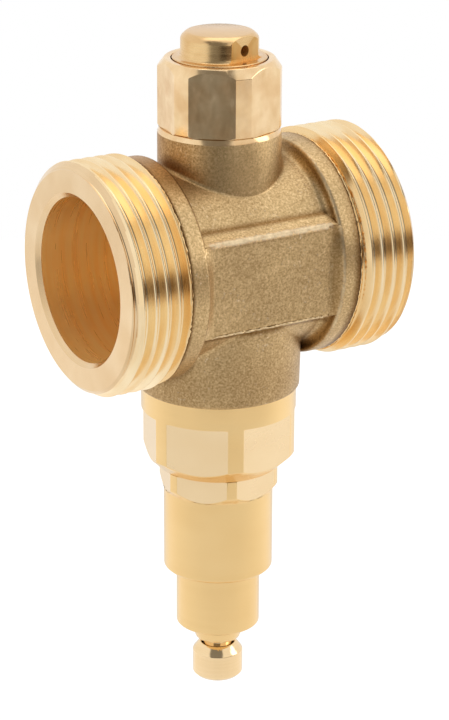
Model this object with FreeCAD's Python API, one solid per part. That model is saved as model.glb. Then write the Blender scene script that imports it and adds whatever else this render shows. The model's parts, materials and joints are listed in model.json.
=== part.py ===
import FreeCAD, Part
import math
import os

# Anti-freeze valve: the port axis runs along X, the valve axis along Z, and the origin is where they cross.
# All lengths are in millimetres.

# Casting and ports
flow_bore_r = 14.7
bore_chamfer = 0.8
barrel_over_skirt = 2.1975
thread_crest_r = 20.955
thread_pitch = 2.309
thread_depth = 1.479
thread_land = 0.4
thread_teeth = 5
thread_lead_in = 1.2
thread_lead_depth = 1.45
ring_width = 3.91
ring_height = 2.5
ring_edge_r = 0.8
valley_r = 1.5
waist_land = 0.1
pad_proud = 0.5
pad_half_height = 8.3
pad_shoulder = 1.6
pad_edge_r = 1.3
pad_foot_r = 0.6
boss_wall = 2.6
boss_height = 6.5
boss_rim = 0.8
boss_rim_depth = 0.4
boss_fillet_r = 0.9
skirt_wall = 2.7
skirt_draft = 0.025
skirt_depth = 5.6
skirt_fillet_r = 1.5
skirt_edge_r = 0.5
floor_thickness = 3.8
roof_thickness = 2.1
roof_hole_r = 3.0

# Clearances
screw_gap = 0.1
run_gap = 0.05
seal_gap = 0.1
end_gap = 0.6
cage_gap = 0.3
tolerance = 0.001

# Vacuum breaker in the boss
bonnet_spigot_r = 8.3
bonnet_oring_wire_r = 0.4
bonnet_gland = 1.4
bonnet_flats = 20.3
bonnet_land = 0.8
bonnet_turn = -9.0
bonnet_top_chamfer = 1.2
bonnet_top_chamfer_height = 1.6
bonnet_foot_chamfer = 0.3
vent_chamber_r = 6.6
vent_circlip_lip = 0.9
vent_circlip_thickness = 0.8
vent_circlip_depth = 0.5
vent_circlip_width = 1.3
vent_circlip_mouth = 40.0
vent_retainer_thickness = 1.2
vent_hub_r = 2.6
vent_hub_drop = 1.7
vent_flow_holes = 6
vent_flow_hole_r = 0.9
vent_spring_length = 4.4
vent_spring_wire_r = 0.3
vent_spring_r = 3.3
vent_spring_half_turns = 5
vent_pin_r = 1.5
vent_pin_depth = 2.2
vent_pin_stub = 0.9
vent_disc_r = 4.6
vent_disc_thickness = 1.2
vent_seal_thickness = 0.8
vent_seal_step = 0.2
vent_seat_hole_r = 2.6
vent_seat_land = 3.8
plug_shank_r = 5.95
plug_shank_length = 3.85
plug_oring_wire_r = 0.5
plug_recess = 1.3
plug_flange_r = 8.4
plug_flange_thickness = 1.5
plug_recess_gap = 0.2
plug_head_r = 6.9
plug_head_height = 4.5
plug_head_chamfer = 0.9
plug_head_chamfer_height = 1.2
plug_flats = 12.0
plug_turn = -75.0
plug_vent_r = 1.6
plug_cross_hole_r = 1.0
plug_cross_hole_height = 1.8

# Wax element, which rides up and down with the drain stem
drain_travel = 4.0
wax_cup_r = 5.0
wax_cup_wall = 0.7
wax_cup_clearance = 0.5
wax_fill_length = 9.4
wax_boot_r = 2.4
wax_boot_tip = 1.0
wax_boot_flange = 0.6
wax_crimp_wall = 0.8
wax_crimp_lip = 0.5
wax_guide_flange = 1.6
wax_guide_r = 3.8
wax_guide_length = 4.4
wax_piston_r = 1.6
wax_piston_cover = 1.5
floor_hole_gap = 1.3

# Return spring and the yoke that ties the wax element to the stem
spring_retainer_thickness = 1.0
spring_retainer_gap = 0.7
return_spring_wire_r = 0.6
return_spring_gap = 0.8
return_spring_half_turns = 7
yoke_ring_thickness = 1.2
yoke_ring_rim = 0.4
yoke_leg_width = 4.0
yoke_leg_thickness = 1.4
yoke_web_thickness = 1.7
yoke_bore_gap = 0.4
nut_flats = 6.0
nut_height = 2.0

# Cartridge housing
housing_oring_wire_r = 0.65
housing_oring_height = 2.0
skirt_bore_r = 12.0
collar_r = 14.15
collar_band = 4.3
collar_flats = 25.75
collar_flats_height = 8.2
collar_chamfer_height = 2.9
collar_foot_wall = 1.5
collar_turn = -18.5

# Drain nozzle, seat and bridge
obturator_r = 6.2
obturator_thickness = 1.3
obturator_seal_thickness = 1.4
obturator_seal_step = 0.3
obturator_flow_gap = 1.4
seat_ledge = 0.8
seat_thickness = 2.4
seat_lip = 0.8
seat_lip_wall = 0.8
seat_hole_r = 4.5
seat_oring_wire_r = 0.7
seat_circlip_thickness = 1.0
seat_circlip_depth = 0.5
seat_circlip_width = 1.1
seat_circlip_mouth = 40.0
bridge_bar_thickness = 1.8
bridge_width = 3.2
bridge_post = 1.8
nozzle_spigot_wall = 1.0
nozzle_gasket_thickness = 0.8
nozzle_wall = 2.45
nozzle_flange_land = 1.1
nozzle_flange_height = 3.35
nozzle_flange_chamfer = 1.4
nozzle_floor = 1.7
nozzle_foot_chamfer = 0.4
spout_bore_r = 5.6
spout_wall = 2.12
spout_length = 11.6
spout_floor = 1.4
spout_foot_chamfer = 0.3
lip_wall = 0.6
lip_flare = 1.2
lip_height = 3.2

# Drain stem and what is on it
stem_r = 2.6
stem_upper_r = 2.2
stem_thread_r = 1.5
stem_thread_length = 4.2
stem_flow_gap = 0.9
seal_washer_r = 3.8
seal_washer_thickness = 0.9
stem_guide_height = 3.0
stem_guide_drop = 3.7
stem_guide_hub_wall = 0.7
stem_guide_ledge = 0.8
stem_guide_arms = 3
stem_guide_arm_width = 1.6
knob_gap = 1.1
knob_r = 4.68
knob_height = 6.75
knob_top_chamfer = 1.3
knob_top_chamfer_height = 1.7
knob_foot_chamfer = 0.7

# Barrel, which stands clear of the tapered skirt below it
shoulder_z = -(flow_bore_r + floor_thickness)
skirt_foot = shoulder_z - skirt_depth
skirt_r = skirt_bore_r + skirt_wall
skirt_top_r = skirt_r - skirt_draft * skirt_foot
barrel_r = skirt_top_r + barrel_over_skirt
ring_r = barrel_r + ring_height
pad_reach = barrel_r + pad_proud
pad_root_z = pad_half_height + pad_shoulder
pad_root_y = math.sqrt(barrel_r ** 2 - pad_root_z ** 2)
pad_slope = pad_shoulder / (pad_reach - pad_root_y)

# Radii worked out from the sizes above
boss_bore_r = bonnet_spigot_r + screw_gap
boss_r = boss_bore_r + boss_wall
bonnet_round_r = bonnet_flats / 2 + bonnet_land
waist_half = boss_r + boss_fillet_r + waist_land + valley_r
ring_end = waist_half + ring_width
thread_end = ring_end + (thread_teeth - 0.5) * thread_pitch
body_half = thread_end + thread_lead_in
floor_hole_r = wax_cup_r + floor_hole_gap
wax_bore_r = wax_piston_r + run_gap
wax_crimp_r = wax_cup_r + wax_crimp_wall
return_spring_r = wax_crimp_r + return_spring_gap + return_spring_wire_r
yoke_ring_r = return_spring_r + return_spring_wire_r + yoke_ring_rim
housing_bore_r = yoke_ring_r + yoke_bore_gap
housing_spigot_r = skirt_bore_r - screw_gap
nozzle_chamber_r = obturator_r + obturator_flow_gap
seat_r = nozzle_chamber_r + seat_ledge
nozzle_bore_r = seat_r + screw_gap
nozzle_r = nozzle_chamber_r + nozzle_wall
nozzle_spigot_r = nozzle_bore_r + nozzle_spigot_wall
nozzle_flange_r = nozzle_r + nozzle_flange_land
socket_r = nozzle_spigot_r + screw_gap
collar_foot_r = socket_r + collar_foot_wall
seat_circlip_inner_r = nozzle_bore_r + seat_circlip_depth - seat_circlip_width
cage_r = seat_circlip_inner_r - cage_gap
mouth_r = stem_r + stem_flow_gap
lip_end_r = mouth_r + lip_wall
spout_r = spout_bore_r + spout_wall

# Heights above the port axis
boss_top = barrel_r + boss_height
roof_z = flow_bore_r + roof_thickness
bonnet_foot = roof_z + end_gap
vent_circlip_z = bonnet_foot + vent_circlip_lip
vent_retainer_z = vent_circlip_z + vent_circlip_thickness
vent_spring_z = vent_retainer_z + vent_retainer_thickness
vent_disc_z = vent_spring_z + vent_spring_length
vent_disc_top = vent_disc_z + vent_disc_thickness
vent_seal_top = vent_disc_top + vent_seal_thickness
vent_seat_z = vent_seal_top + seal_gap
plug_floor = vent_seat_z + vent_seat_land
plug_bottom = plug_floor + end_gap
plug_flange_z = plug_bottom + plug_shank_length
bonnet_top = plug_flange_z + plug_recess
plug_head_z = plug_flange_z + plug_flange_thickness
plug_top = plug_head_z + plug_head_height

# Heights below the port axis
return_spring_top = shoulder_z - spring_retainer_thickness
wax_cup_top = -(flow_bore_r + wax_cup_clearance)
wax_fill_top = wax_cup_top - wax_cup_wall
wax_fill_foot = wax_fill_top - wax_fill_length
wax_guide_top = wax_fill_foot - wax_boot_flange
wax_crimp_z = wax_guide_top - wax_guide_flange
yoke_top = wax_crimp_z - wax_crimp_lip
yoke_ring_foot = yoke_top - yoke_ring_thickness
wax_guide_foot = wax_crimp_z - wax_guide_length
bridge_top = wax_guide_foot - drain_travel - end_gap
bridge_foot = bridge_top - bridge_bar_thickness
stem_top = bridge_foot - end_gap
stem_shoulder_z = stem_top - stem_thread_length
yoke_foot = stem_shoulder_z
yoke_web_top = yoke_foot + yoke_web_thickness
seat_top = yoke_foot - drain_travel - end_gap
seat_foot = seat_top - seat_thickness
seat_edge_z = seat_foot - seat_lip
obturator_seal_top = seat_edge_z - seal_gap
obturator_top = obturator_seal_top - obturator_seal_thickness
obturator_foot = obturator_top - obturator_thickness
nozzle_floor_z = obturator_foot - drain_travel - end_gap
nozzle_foot = nozzle_floor_z - nozzle_floor
spout_foot = nozzle_foot - spout_length
stem_guide_top = nozzle_floor_z - stem_guide_drop
stem_guide_foot = stem_guide_top - stem_guide_height
lip_foot = spout_foot - lip_height
knob_top = lip_foot - knob_gap
knob_foot = knob_top - knob_height
socket_top = yoke_ring_foot - drain_travel - end_gap
nozzle_top = socket_top - nozzle_gasket_thickness
collar_flats_z = skirt_foot - collar_band
collar_chamfer_z = collar_flats_z - collar_flats_height
collar_foot = collar_chamfer_z - collar_chamfer_height
nozzle_flange_foot = collar_foot - nozzle_flange_height


def at(x, y, z):
    return FreeCAD.Vector(x, y, z)


axis_z = at(0, 0, 1)
axis_x = at(1, 0, 0)


def turned(*profile):
    """A solid of revolution about Z from (radius, height) corners."""
    corners = [at(r, 0, z) for r, z in profile]
    face = Part.Face(Part.makePolygon(corners + corners[:1]))
    return face.revolve(at(0, 0, 0), axis_z, 360)


def ring(inner_r, outer_r, low, high):
    return turned((inner_r, low), (outer_r, low), (outer_r, high), (inner_r, high))


def rod(radius, low, high):
    return Part.makeCylinder(radius, high - low, at(0, 0, low))


def plate(x, y, low, high):
    """A block centred on the valve axis."""
    return Part.makeBox(x, y, high - low, at(-x / 2, -y / 2, low))


def prism(sides, across, low, high, turn):
    """A regular prism with the given width across its flats, one flat facing the angle turn."""
    corner_r = across / 2 / math.cos(math.pi / sides)
    angles = [math.radians(turn + (step + 0.5) * 360 / sides) for step in range(sides + 1)]
    corners = [at(corner_r * math.cos(a), corner_r * math.sin(a), low) for a in angles]
    return Part.Face(Part.makePolygon(corners)).extrude(at(0, 0, high - low))


def oring(centre_r, wire_r, z):
    return Part.makeTorus(centre_r, wire_r, at(0, 0, z), axis_z)


def half_ring(mean_r, wire_r, low, rise, side):
    """Half a turn of wire about Z, from +X round to -X on the +Y side, or back again on the other side."""
    span = math.hypot(2 * mean_r, rise)
    half = Part.makeTorus(span / 2, wire_r, at(0, 0, 0), axis_z, -180, 180, 180)
    half.rotate(at(0, 0, 0), at(0, 1, 0), math.degrees(math.atan2(rise, 2 * mean_r)))
    if side < 0:
        half.rotate(at(0, 0, 0), axis_z, 180)
    half.translate(at(0, 0, low + rise / 2))
    return half


def coil(mean_r, wire_r, low, high, half_turns):
    """A wire spring that stands between two heights, with a flat half turn at each end."""
    rise = (high - low - 2 * wire_r) / half_turns
    z = low + wire_r
    side = 1
    pieces = []
    for step in [0] + [rise] * half_turns + [0]:
        pieces.append(half_ring(mean_r, wire_r, z, step, side))
        z += step
        side = -side
    return pieces[0].fuse(pieces[1:])


def circlip(inner_r, outer_r, low, high, mouth):
    """A flat spring ring with an open mouth, given in degrees, facing +X."""
    blank = Part.makeCylinder(outer_r, high - low, at(0, 0, low), axis_z, 360 - mouth)
    blank.rotate(at(0, 0, 0), axis_z, mouth / 2)
    return blank.cut(rod(inner_r, low - 1, high + 1))


def along_x(shape):
    """Turns a solid modelled about Z so that it lies about X."""
    shape.rotate(at(0, 0, 0), at(0, 1, 0), 90)
    return shape


def arc(first, middle, last):
    return Part.Arc(first, middle, last).toShape()


def line(first, last):
    return Part.LineSegment(first, last).toShape()


def thread_corners():
    """Corners of the port thread, drawn as plain rings, from the shoulder ring out to the lead-in."""
    root_r = thread_crest_r - thread_depth
    flank = thread_pitch / 2 - thread_land
    corners = []
    for tooth in range(thread_teeth):
        root_x = ring_end + tooth * thread_pitch
        crest_x = root_x + flank
        if tooth:
            corners.append(at(root_x - thread_land, root_r, 0))
        corners.append(at(root_x, root_r, 0))
        corners.append(at(crest_x, thread_crest_r, 0))
        corners.append(at(crest_x + thread_land, thread_crest_r, 0))
    return corners


def half_port():
    """Half of the barrel with its shoulder ring and thread, turned about X."""
    valley_x = waist_half - valley_r
    slope = math.sqrt(0.5)
    foot = at(valley_x, barrel_r, 0)
    bend = at(valley_x + valley_r * slope, barrel_r + valley_r * (1 - slope), 0)
    wall_foot = at(waist_half, barrel_r + valley_r, 0)
    wall_top = at(waist_half, ring_r - ring_edge_r, 0)
    crown = at(waist_half + ring_edge_r * (1 - slope), ring_r - ring_edge_r * (1 - slope), 0)
    rim = at(waist_half + ring_edge_r, ring_r, 0)
    outline = [
        rim,
        at(ring_end, ring_r, 0),
        *thread_corners(),
        at(body_half, thread_crest_r - thread_lead_depth, 0),
        at(body_half, 0, 0),
        at(0, 0, 0),
        at(0, barrel_r, 0),
        foot,
    ]
    edges = [arc(foot, bend, wall_foot), line(wall_foot, wall_top), arc(wall_top, crown, rim)]
    edges += [line(a, b) for a, b in zip(outline, outline[1:])]
    return Part.Face(Part.Wire(edges)).revolve(at(0, 0, 0), axis_x, 360)


def pads():
    """The two flat pads, front and back, as one bar whose shoulders slope down to the barrel."""
    inner_y = pad_root_y / 2
    inner_z = pad_half_height + pad_slope * (pad_reach - inner_y)
    corners = [(pad_reach, pad_half_height), (inner_y, inner_z), (-inner_y, inner_z), (-pad_reach, pad_half_height)]
    corners += [(y, -z) for y, z in reversed(corners)]
    outline = Part.makePolygon([at(-ring_end, y, z) for y, z in corners + corners[:1]])
    bar = Part.Face(outline).extrude(at(2 * ring_end, 0, 0))
    rims = edges_on(bar, is_pad_rim)
    return bar.makeFillet(pad_edge_r, rims)


def edges_on(shape, test):
    """The edges whose points all pass the test."""
    return [e for e in shape.Edges if all(test(p) for p in e.discretize(7))]


def is_boss_foot(p):
    return abs(math.hypot(p.x, p.y) - boss_r) < tolerance and 0 < p.z < boss_top - boss_rim - tolerance


def is_skirt_root(p):
    return abs(math.hypot(p.x, p.y) - skirt_top_r - skirt_draft * p.z) < tolerance and skirt_foot + tolerance < p.z < 0


def is_skirt_edge(p):
    return abs(p.z - skirt_foot) < tolerance


def is_pad_rim(p):
    return abs(abs(p.y) - pad_reach) < tolerance and abs(abs(p.z) - pad_half_height) < tolerance


def is_pad_foot(p):
    return abs(p.z - pad_root_z) < tolerance and abs(abs(p.y) - pad_root_y) < tolerance


def waist():
    """Barrel, boss, skirt and pads, with the hollow corners rounded as a casting's are."""
    barrel = along_x(rod(barrel_r, -ring_end, ring_end))
    boss = turned((0, 0), (boss_r, 0), (boss_r, boss_top - boss_rim),
                  (boss_r - boss_rim_depth, boss_top), (0, boss_top))
    skirt = turned((0, skirt_foot), (skirt_r, skirt_foot), (skirt_top_r, 0), (0, 0))
    skirt = skirt.makeFillet(skirt_edge_r, edges_on(skirt, is_skirt_edge))
    solid = barrel.fuse([boss, skirt]).removeSplitter()
    solid = solid.makeFillet(skirt_fillet_r, edges_on(solid, is_skirt_root))
    solid = solid.makeFillet(boss_fillet_r, edges_on(solid, is_boss_foot))
    solid = solid.fuse(pads()).removeSplitter()
    return solid.makeFillet(pad_foot_r, edges_on(solid, is_pad_foot))


def casting():
    right = half_port()
    left = right.mirror(at(0, 0, 0), axis_x)
    return waist().fuse([right, left]).removeSplitter()


def valve_body():
    solid = casting()
    end = body_half + 1
    bore = rod(flow_bore_r, -end, end)
    mouth_r = flow_bore_r + bore_chamfer
    for side in (1, -1):
        mouth = turned((0, side * (body_half - bore_chamfer)), (flow_bore_r, side * (body_half - bore_chamfer)),
                       (mouth_r, side * body_half), (0, side * body_half))
        bore = bore.fuse(mouth)
    top = boss_top
    boss_bore = turned((0, roof_z), (boss_bore_r, roof_z), (boss_bore_r, top - bonnet_gland),
                       (boss_bore_r + bonnet_gland, top), (0, top))
    cuts = [
        along_x(bore),
        boss_bore,
        rod(roof_hole_r, 0, roof_z),
        rod(floor_hole_r, shoulder_z, 0),
        rod(skirt_bore_r, skirt_foot, shoulder_z),
    ]
    return solid.cut(cuts)


def vent_bonnet():
    """Hexagon bonnet: screwed into the boss, with the air seat inside and the plug's thread on top."""
    top = bonnet_top
    outer_r = bonnet_round_r
    blank = turned((0, boss_top), (outer_r - bonnet_foot_chamfer, boss_top),
                   (outer_r, boss_top + bonnet_foot_chamfer), (outer_r, top - bonnet_top_chamfer_height),
                   (outer_r - bonnet_top_chamfer, top), (0, top))
    head = blank.common(prism(6, bonnet_flats, boss_top - 1, top + 1, bonnet_turn))
    solid = head.fuse(rod(bonnet_spigot_r, bonnet_foot, boss_top))
    gland_r = plug_shank_r + 2 * plug_oring_wire_r + 2 * run_gap
    groove_r = vent_chamber_r + vent_circlip_depth
    cuts = [
        rod(vent_chamber_r, bonnet_foot, vent_seat_z),
        rod(groove_r, vent_circlip_z, vent_retainer_z),
        rod(vent_seat_hole_r, vent_seat_z, plug_floor),
        rod(plug_shank_r + screw_gap, plug_floor, top),
        rod(gland_r, plug_flange_z - 2 * plug_oring_wire_r - run_gap, top),
        rod(plug_flange_r + plug_recess_gap, plug_flange_z, top),
    ]
    return solid.cut(cuts).removeSplitter()


def bonnet_oring():
    offset = bonnet_oring_wire_r + run_gap
    return oring(bonnet_spigot_r + offset, bonnet_oring_wire_r, boss_top - offset)


def vent_plug():
    """Vented cap: a flange, a head with two flats, and a cross hole that meets the bore."""
    top = plug_top
    head = turned((0, plug_head_z), (plug_head_r, plug_head_z), (plug_head_r, top - plug_head_chamfer_height),
                  (plug_head_r - plug_head_chamfer, top), (0, top))
    flats = plate(plug_flats, 4 * plug_head_r, plug_head_z, top)
    flats.rotate(at(0, 0, 0), axis_z, plug_turn)
    solid = rod(plug_shank_r, plug_bottom, plug_flange_z)
    solid = solid.fuse([rod(plug_flange_r, plug_flange_z, plug_head_z), head.common(flats)])
    cross_z = plug_head_z + plug_cross_hole_height
    cross = along_x(rod(plug_cross_hole_r, -plug_head_r, plug_head_r))
    cross.rotate(at(0, 0, 0), axis_z, plug_turn)
    cross.translate(at(0, 0, cross_z))
    return solid.cut([rod(plug_vent_r, plug_bottom, cross_z), cross]).removeSplitter()


def plug_oring():
    return oring(plug_shank_r + plug_oring_wire_r + run_gap, plug_oring_wire_r, plug_flange_z - plug_oring_wire_r)


def vent_piston():
    """Disc that closes the air seat, on a pin that slides in the retainer's hub."""
    pin_foot = vent_spring_z - vent_pin_depth
    stub_top = vent_seal_top + vent_pin_stub
    return turned((0, pin_foot), (vent_pin_r, pin_foot), (vent_pin_r, vent_disc_z), (vent_disc_r, vent_disc_z),
                  (vent_disc_r, vent_disc_top), (vent_pin_r, vent_disc_top), (vent_pin_r, stub_top), (0, stub_top))


def vent_seal():
    return ring(vent_pin_r + run_gap, vent_disc_r - vent_seal_step, vent_disc_top, vent_seal_top)


def vent_spring():
    return coil(vent_spring_r, vent_spring_wire_r, vent_spring_z, vent_disc_z, vent_spring_half_turns)


def vent_retainer():
    """Perforated disc with a hub that guides the piston's pin."""
    hub_foot = vent_retainer_z - vent_hub_drop
    solid = rod(vent_chamber_r - screw_gap, vent_retainer_z, vent_spring_z)
    solid = solid.fuse(rod(vent_hub_r, hub_foot, vent_retainer_z))
    cuts = [rod(vent_pin_r + run_gap, hub_foot, vent_spring_z)]
    hole_circle_r = (vent_hub_r + vent_chamber_r) / 2
    for step in range(vent_flow_holes):
        hole = rod(vent_flow_hole_r, vent_retainer_z, vent_spring_z)
        angle = 2 * math.pi * step / vent_flow_holes
        hole.translate(at(hole_circle_r * math.cos(angle), hole_circle_r * math.sin(angle), 0))
        cuts.append(hole)
    return solid.cut(cuts).removeSplitter()


def vent_circlip():
    outer_r = vent_chamber_r + vent_circlip_depth - run_gap
    return circlip(outer_r - vent_circlip_width, outer_r, vent_circlip_z, vent_retainer_z, vent_circlip_mouth)


def spring_retainer():
    """Washer clamped under the shoulder, which the return spring pushes against."""
    return ring(wax_cup_r + spring_retainer_gap, housing_spigot_r, return_spring_top, shoulder_z)


def return_spring():
    return coil(return_spring_r, return_spring_wire_r, yoke_top, return_spring_top, return_spring_half_turns)


def wax_cup():
    """Sensing cup with its open end crimped round the guide's flange."""
    lip_r = wax_guide_r + screw_gap
    flange_r = wax_cup_r - wax_cup_wall + wax_crimp_wall
    return turned((0, wax_cup_top), (wax_cup_r, wax_cup_top), (wax_cup_r, wax_fill_foot),
                  (wax_crimp_r, wax_fill_foot), (wax_crimp_r, yoke_top), (lip_r, yoke_top), (lip_r, wax_crimp_z),
                  (flange_r, wax_crimp_z), (flange_r, wax_fill_foot), (wax_cup_r - wax_cup_wall, wax_fill_foot),
                  (wax_cup_r - wax_cup_wall, wax_fill_top), (0, wax_fill_top))


def wax_fill():
    """Wax charge, moulded round the boot."""
    outer_r = wax_cup_r - wax_cup_wall - run_gap
    hole_r = wax_boot_r + run_gap
    hole_top = wax_fill_top - wax_boot_tip
    return turned((0, wax_fill_top), (outer_r, wax_fill_top), (outer_r, wax_fill_foot), (hole_r, wax_fill_foot),
                  (hole_r, hole_top), (0, hole_top))


def wax_boot():
    """Rubber boot that keeps the wax off the piston."""
    tip = wax_fill_top - wax_boot_tip
    outer_r = wax_cup_r - wax_cup_wall + wax_crimp_wall - run_gap
    return turned((0, tip), (wax_boot_r, tip), (wax_boot_r, wax_fill_foot), (outer_r, wax_fill_foot),
                  (outer_r, wax_guide_top), (wax_bore_r, wax_guide_top), (wax_bore_r, tip - wax_boot_tip),
                  (0, tip - wax_boot_tip))


def wax_guide():
    outer_r = wax_cup_r - wax_cup_wall + wax_crimp_wall - run_gap
    return turned((wax_bore_r, wax_guide_top), (outer_r, wax_guide_top), (outer_r, wax_crimp_z),
                  (wax_guide_r, wax_crimp_z), (wax_guide_r, wax_guide_foot), (wax_bore_r, wax_guide_foot))


def wax_piston():
    """Pushes the wax element up off the bridge when the wax is warm."""
    boot_end = wax_fill_top - 2 * wax_boot_tip
    return rod(wax_piston_r, bridge_top, boot_end - drain_travel - wax_piston_cover)


def lift_yoke():
    """Ring under the wax element, with two legs down to the web that holds the stem."""
    outer_x = math.sqrt(cage_r ** 2 - (yoke_leg_width / 2) ** 2)
    span = 2 * outer_x
    inner = span - 2 * yoke_leg_thickness
    frame = plate(span, yoke_leg_width, yoke_foot, yoke_ring_foot)
    window = plate(inner, 2 * yoke_leg_width, yoke_web_top, yoke_ring_foot)
    solid = rod(yoke_ring_r, yoke_ring_foot, yoke_top).fuse(frame.cut(window))
    cuts = [
        rod(wax_guide_r + screw_gap, yoke_ring_foot, yoke_top),
        rod(stem_thread_r + run_gap, yoke_foot, yoke_web_top),
    ]
    return solid.cut(cuts).removeSplitter()


def yoke_nut():
    nut = prism(6, nut_flats, yoke_web_top, yoke_web_top + nut_height, 0)
    return nut.cut(rod(stem_thread_r + run_gap, yoke_web_top, yoke_web_top + nut_height))


def cartridge_housing():
    """Collar that screws into the skirt, with six flats and a socket for the nozzle."""
    top = return_spring_top
    blank = turned((0, collar_foot), (collar_foot_r, collar_foot), (collar_r, collar_chamfer_z),
                   (collar_r, skirt_foot), (0, skirt_foot))
    trim = prism(6, collar_flats, collar_foot, collar_flats_z, collar_turn)
    waste = ring(socket_r, collar_r + 1, collar_foot, collar_flats_z).cut(trim)
    solid = blank.cut(waste).fuse(rod(housing_spigot_r, skirt_foot, top))
    groove = housing_oring_wire_r + run_gap
    groove_z = skirt_foot + housing_oring_height
    groove_floor = skirt_bore_r - 2 * groove
    cuts = [
        rod(housing_bore_r, socket_top, top),
        rod(socket_r, collar_foot, socket_top),
        ring(groove_floor, skirt_bore_r, groove_z - groove, groove_z + groove),
    ]
    return solid.cut(cuts).removeSplitter()


def housing_oring():
    centre_r = skirt_bore_r - run_gap - housing_oring_wire_r
    return oring(centre_r, housing_oring_wire_r, skirt_foot + housing_oring_height)


def nozzle_gasket():
    return ring(nozzle_bore_r + screw_gap, nozzle_spigot_r, nozzle_top, socket_top)


def drain_nozzle():
    """Stepped outlet: spigot, hexagon flange, chamber, spout and conical lip."""
    flange_z = nozzle_flange_foot - nozzle_flange_chamfer
    foot = nozzle_foot
    flange = turned((0, collar_foot), (nozzle_flange_r, collar_foot), (nozzle_flange_r, nozzle_flange_foot),
                    (nozzle_r, flange_z), (0, flange_z))
    flange = flange.common(prism(6, 2 * nozzle_r, flange_z, collar_foot, collar_turn))
    barrel = turned((0, flange_z), (nozzle_r, flange_z), (nozzle_r, foot + nozzle_foot_chamfer),
                    (nozzle_r - nozzle_foot_chamfer, foot), (spout_r, foot),
                    (spout_r, spout_foot + spout_foot_chamfer), (spout_r - spout_foot_chamfer, spout_foot),
                    (lip_end_r + lip_flare, spout_foot), (lip_end_r, lip_foot), (0, lip_foot))
    spigot = rod(nozzle_spigot_r, collar_foot, nozzle_top)
    groove_r = nozzle_bore_r + seat_circlip_depth
    cuts = [
        rod(nozzle_bore_r, seat_foot, nozzle_top),
        rod(groove_r, seat_top, seat_top + seat_circlip_thickness),
        rod(nozzle_chamber_r, nozzle_floor_z, seat_foot),
        rod(spout_bore_r, stem_guide_foot, nozzle_floor_z),
        rod(spout_bore_r - stem_guide_ledge, spout_foot + spout_floor, stem_guide_foot),
        rod(mouth_r, lip_foot, spout_foot + spout_floor),
    ]
    return spigot.fuse([flange, barrel]).cut(cuts).removeSplitter()


def seat_bridge():
    """Drain seat with a bridge over it that takes the thrust of the wax piston."""
    solid = ring(seat_hole_r, seat_r, seat_foot, seat_top)
    solid = solid.fuse(ring(seat_hole_r, seat_hole_r + seat_lip_wall, seat_edge_z, seat_foot))
    outer_y = math.sqrt(cage_r ** 2 - (bridge_width / 2) ** 2)
    arch = plate(bridge_width, 2 * outer_y, seat_top, bridge_top)
    window = plate(2 * bridge_width, 2 * (outer_y - bridge_post), seat_top, bridge_foot)
    groove = seat_oring_wire_r + run_gap
    groove_z = (seat_top + seat_foot) / 2
    cut = ring(nozzle_bore_r - 2 * groove, nozzle_bore_r, groove_z - groove, groove_z + groove)
    return solid.fuse(arch.cut(window)).cut(cut).removeSplitter()


def seat_oring():
    centre_r = nozzle_bore_r - run_gap - seat_oring_wire_r
    return oring(centre_r, seat_oring_wire_r, (seat_top + seat_foot) / 2)


def seat_circlip():
    outer_r = nozzle_bore_r + seat_circlip_depth - run_gap
    low = seat_top
    return circlip(seat_circlip_inner_r, outer_r, low, low + seat_circlip_thickness, seat_circlip_mouth)


def drain_stem():
    """Stem from the yoke down through the seat and the mouth to the knob, with the obturator disc on it."""
    thread_foot = knob_top - stem_thread_length
    return turned((0, stem_top), (stem_thread_r, stem_top), (stem_thread_r, stem_shoulder_z),
                  (stem_upper_r, stem_shoulder_z), (stem_upper_r, obturator_top), (obturator_r, obturator_top),
                  (obturator_r, obturator_foot), (stem_r, obturator_foot), (stem_r, knob_top),
                  (stem_thread_r, knob_top), (stem_thread_r, thread_foot), (0, thread_foot))


def obturator_seal():
    return ring(stem_upper_r + run_gap, obturator_r - obturator_seal_step, obturator_top, obturator_seal_top)


def seal_washer():
    top = obturator_seal_top + seal_washer_thickness
    return ring(stem_upper_r + run_gap, seal_washer_r, obturator_seal_top, top)


def stem_guide():
    """Bush on arms in the spout, which keeps the stem central and lets the water past."""
    hub_r = stem_r + run_gap + stem_guide_hub_wall
    solid = rod(hub_r, stem_guide_foot, stem_guide_top)
    arms = []
    for step in range(stem_guide_arms):
        arm = Part.makeBox(spout_bore_r, stem_guide_arm_width, stem_guide_height,
                           at(0, -stem_guide_arm_width / 2, stem_guide_foot))
        arm.rotate(at(0, 0, 0), axis_z, 360 * step / stem_guide_arms)
        arms.append(arm)
    solid = solid.fuse(arms).common(rod(spout_bore_r - run_gap, stem_guide_foot, stem_guide_top))
    return solid.cut(rod(stem_r + run_gap, stem_guide_foot, stem_guide_top)).removeSplitter()


def drain_knob():
    foot = knob_foot
    solid = turned((0, knob_top), (knob_r - knob_top_chamfer, knob_top), (knob_r, knob_top - knob_top_chamfer_height),
                   (knob_r, foot + knob_foot_chamfer), (knob_r - knob_foot_chamfer, foot), (0, foot))
    return solid.cut(rod(stem_thread_r + run_gap, knob_top - stem_thread_length, knob_top))


sub_parts = [
    valve_body, vent_bonnet, bonnet_oring, vent_plug, plug_oring, vent_piston, vent_seal, vent_spring,
    vent_retainer, vent_circlip, spring_retainer, return_spring, wax_cup, wax_fill, wax_boot, wax_guide,
    wax_piston, lift_yoke, yoke_nut, cartridge_housing, housing_oring, nozzle_gasket, drain_nozzle, seat_bridge,
    seat_oring, seat_circlip, drain_stem, obturator_seal, seal_washer, stem_guide, drain_knob,
]

os.makedirs("parts", exist_ok=True)
for sub_part in sub_parts:
    shape = sub_part()
    shape.exportStep("parts/" + sub_part.__name__ + ".step")
    print(sub_part.__name__, shape.ShapeType, len(shape.Solids), shape.isValid(), round(shape.Volume, 2))
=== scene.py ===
import json
import math
import random

import bpy
from mathutils import Matrix, Quaternion, Vector

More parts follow.
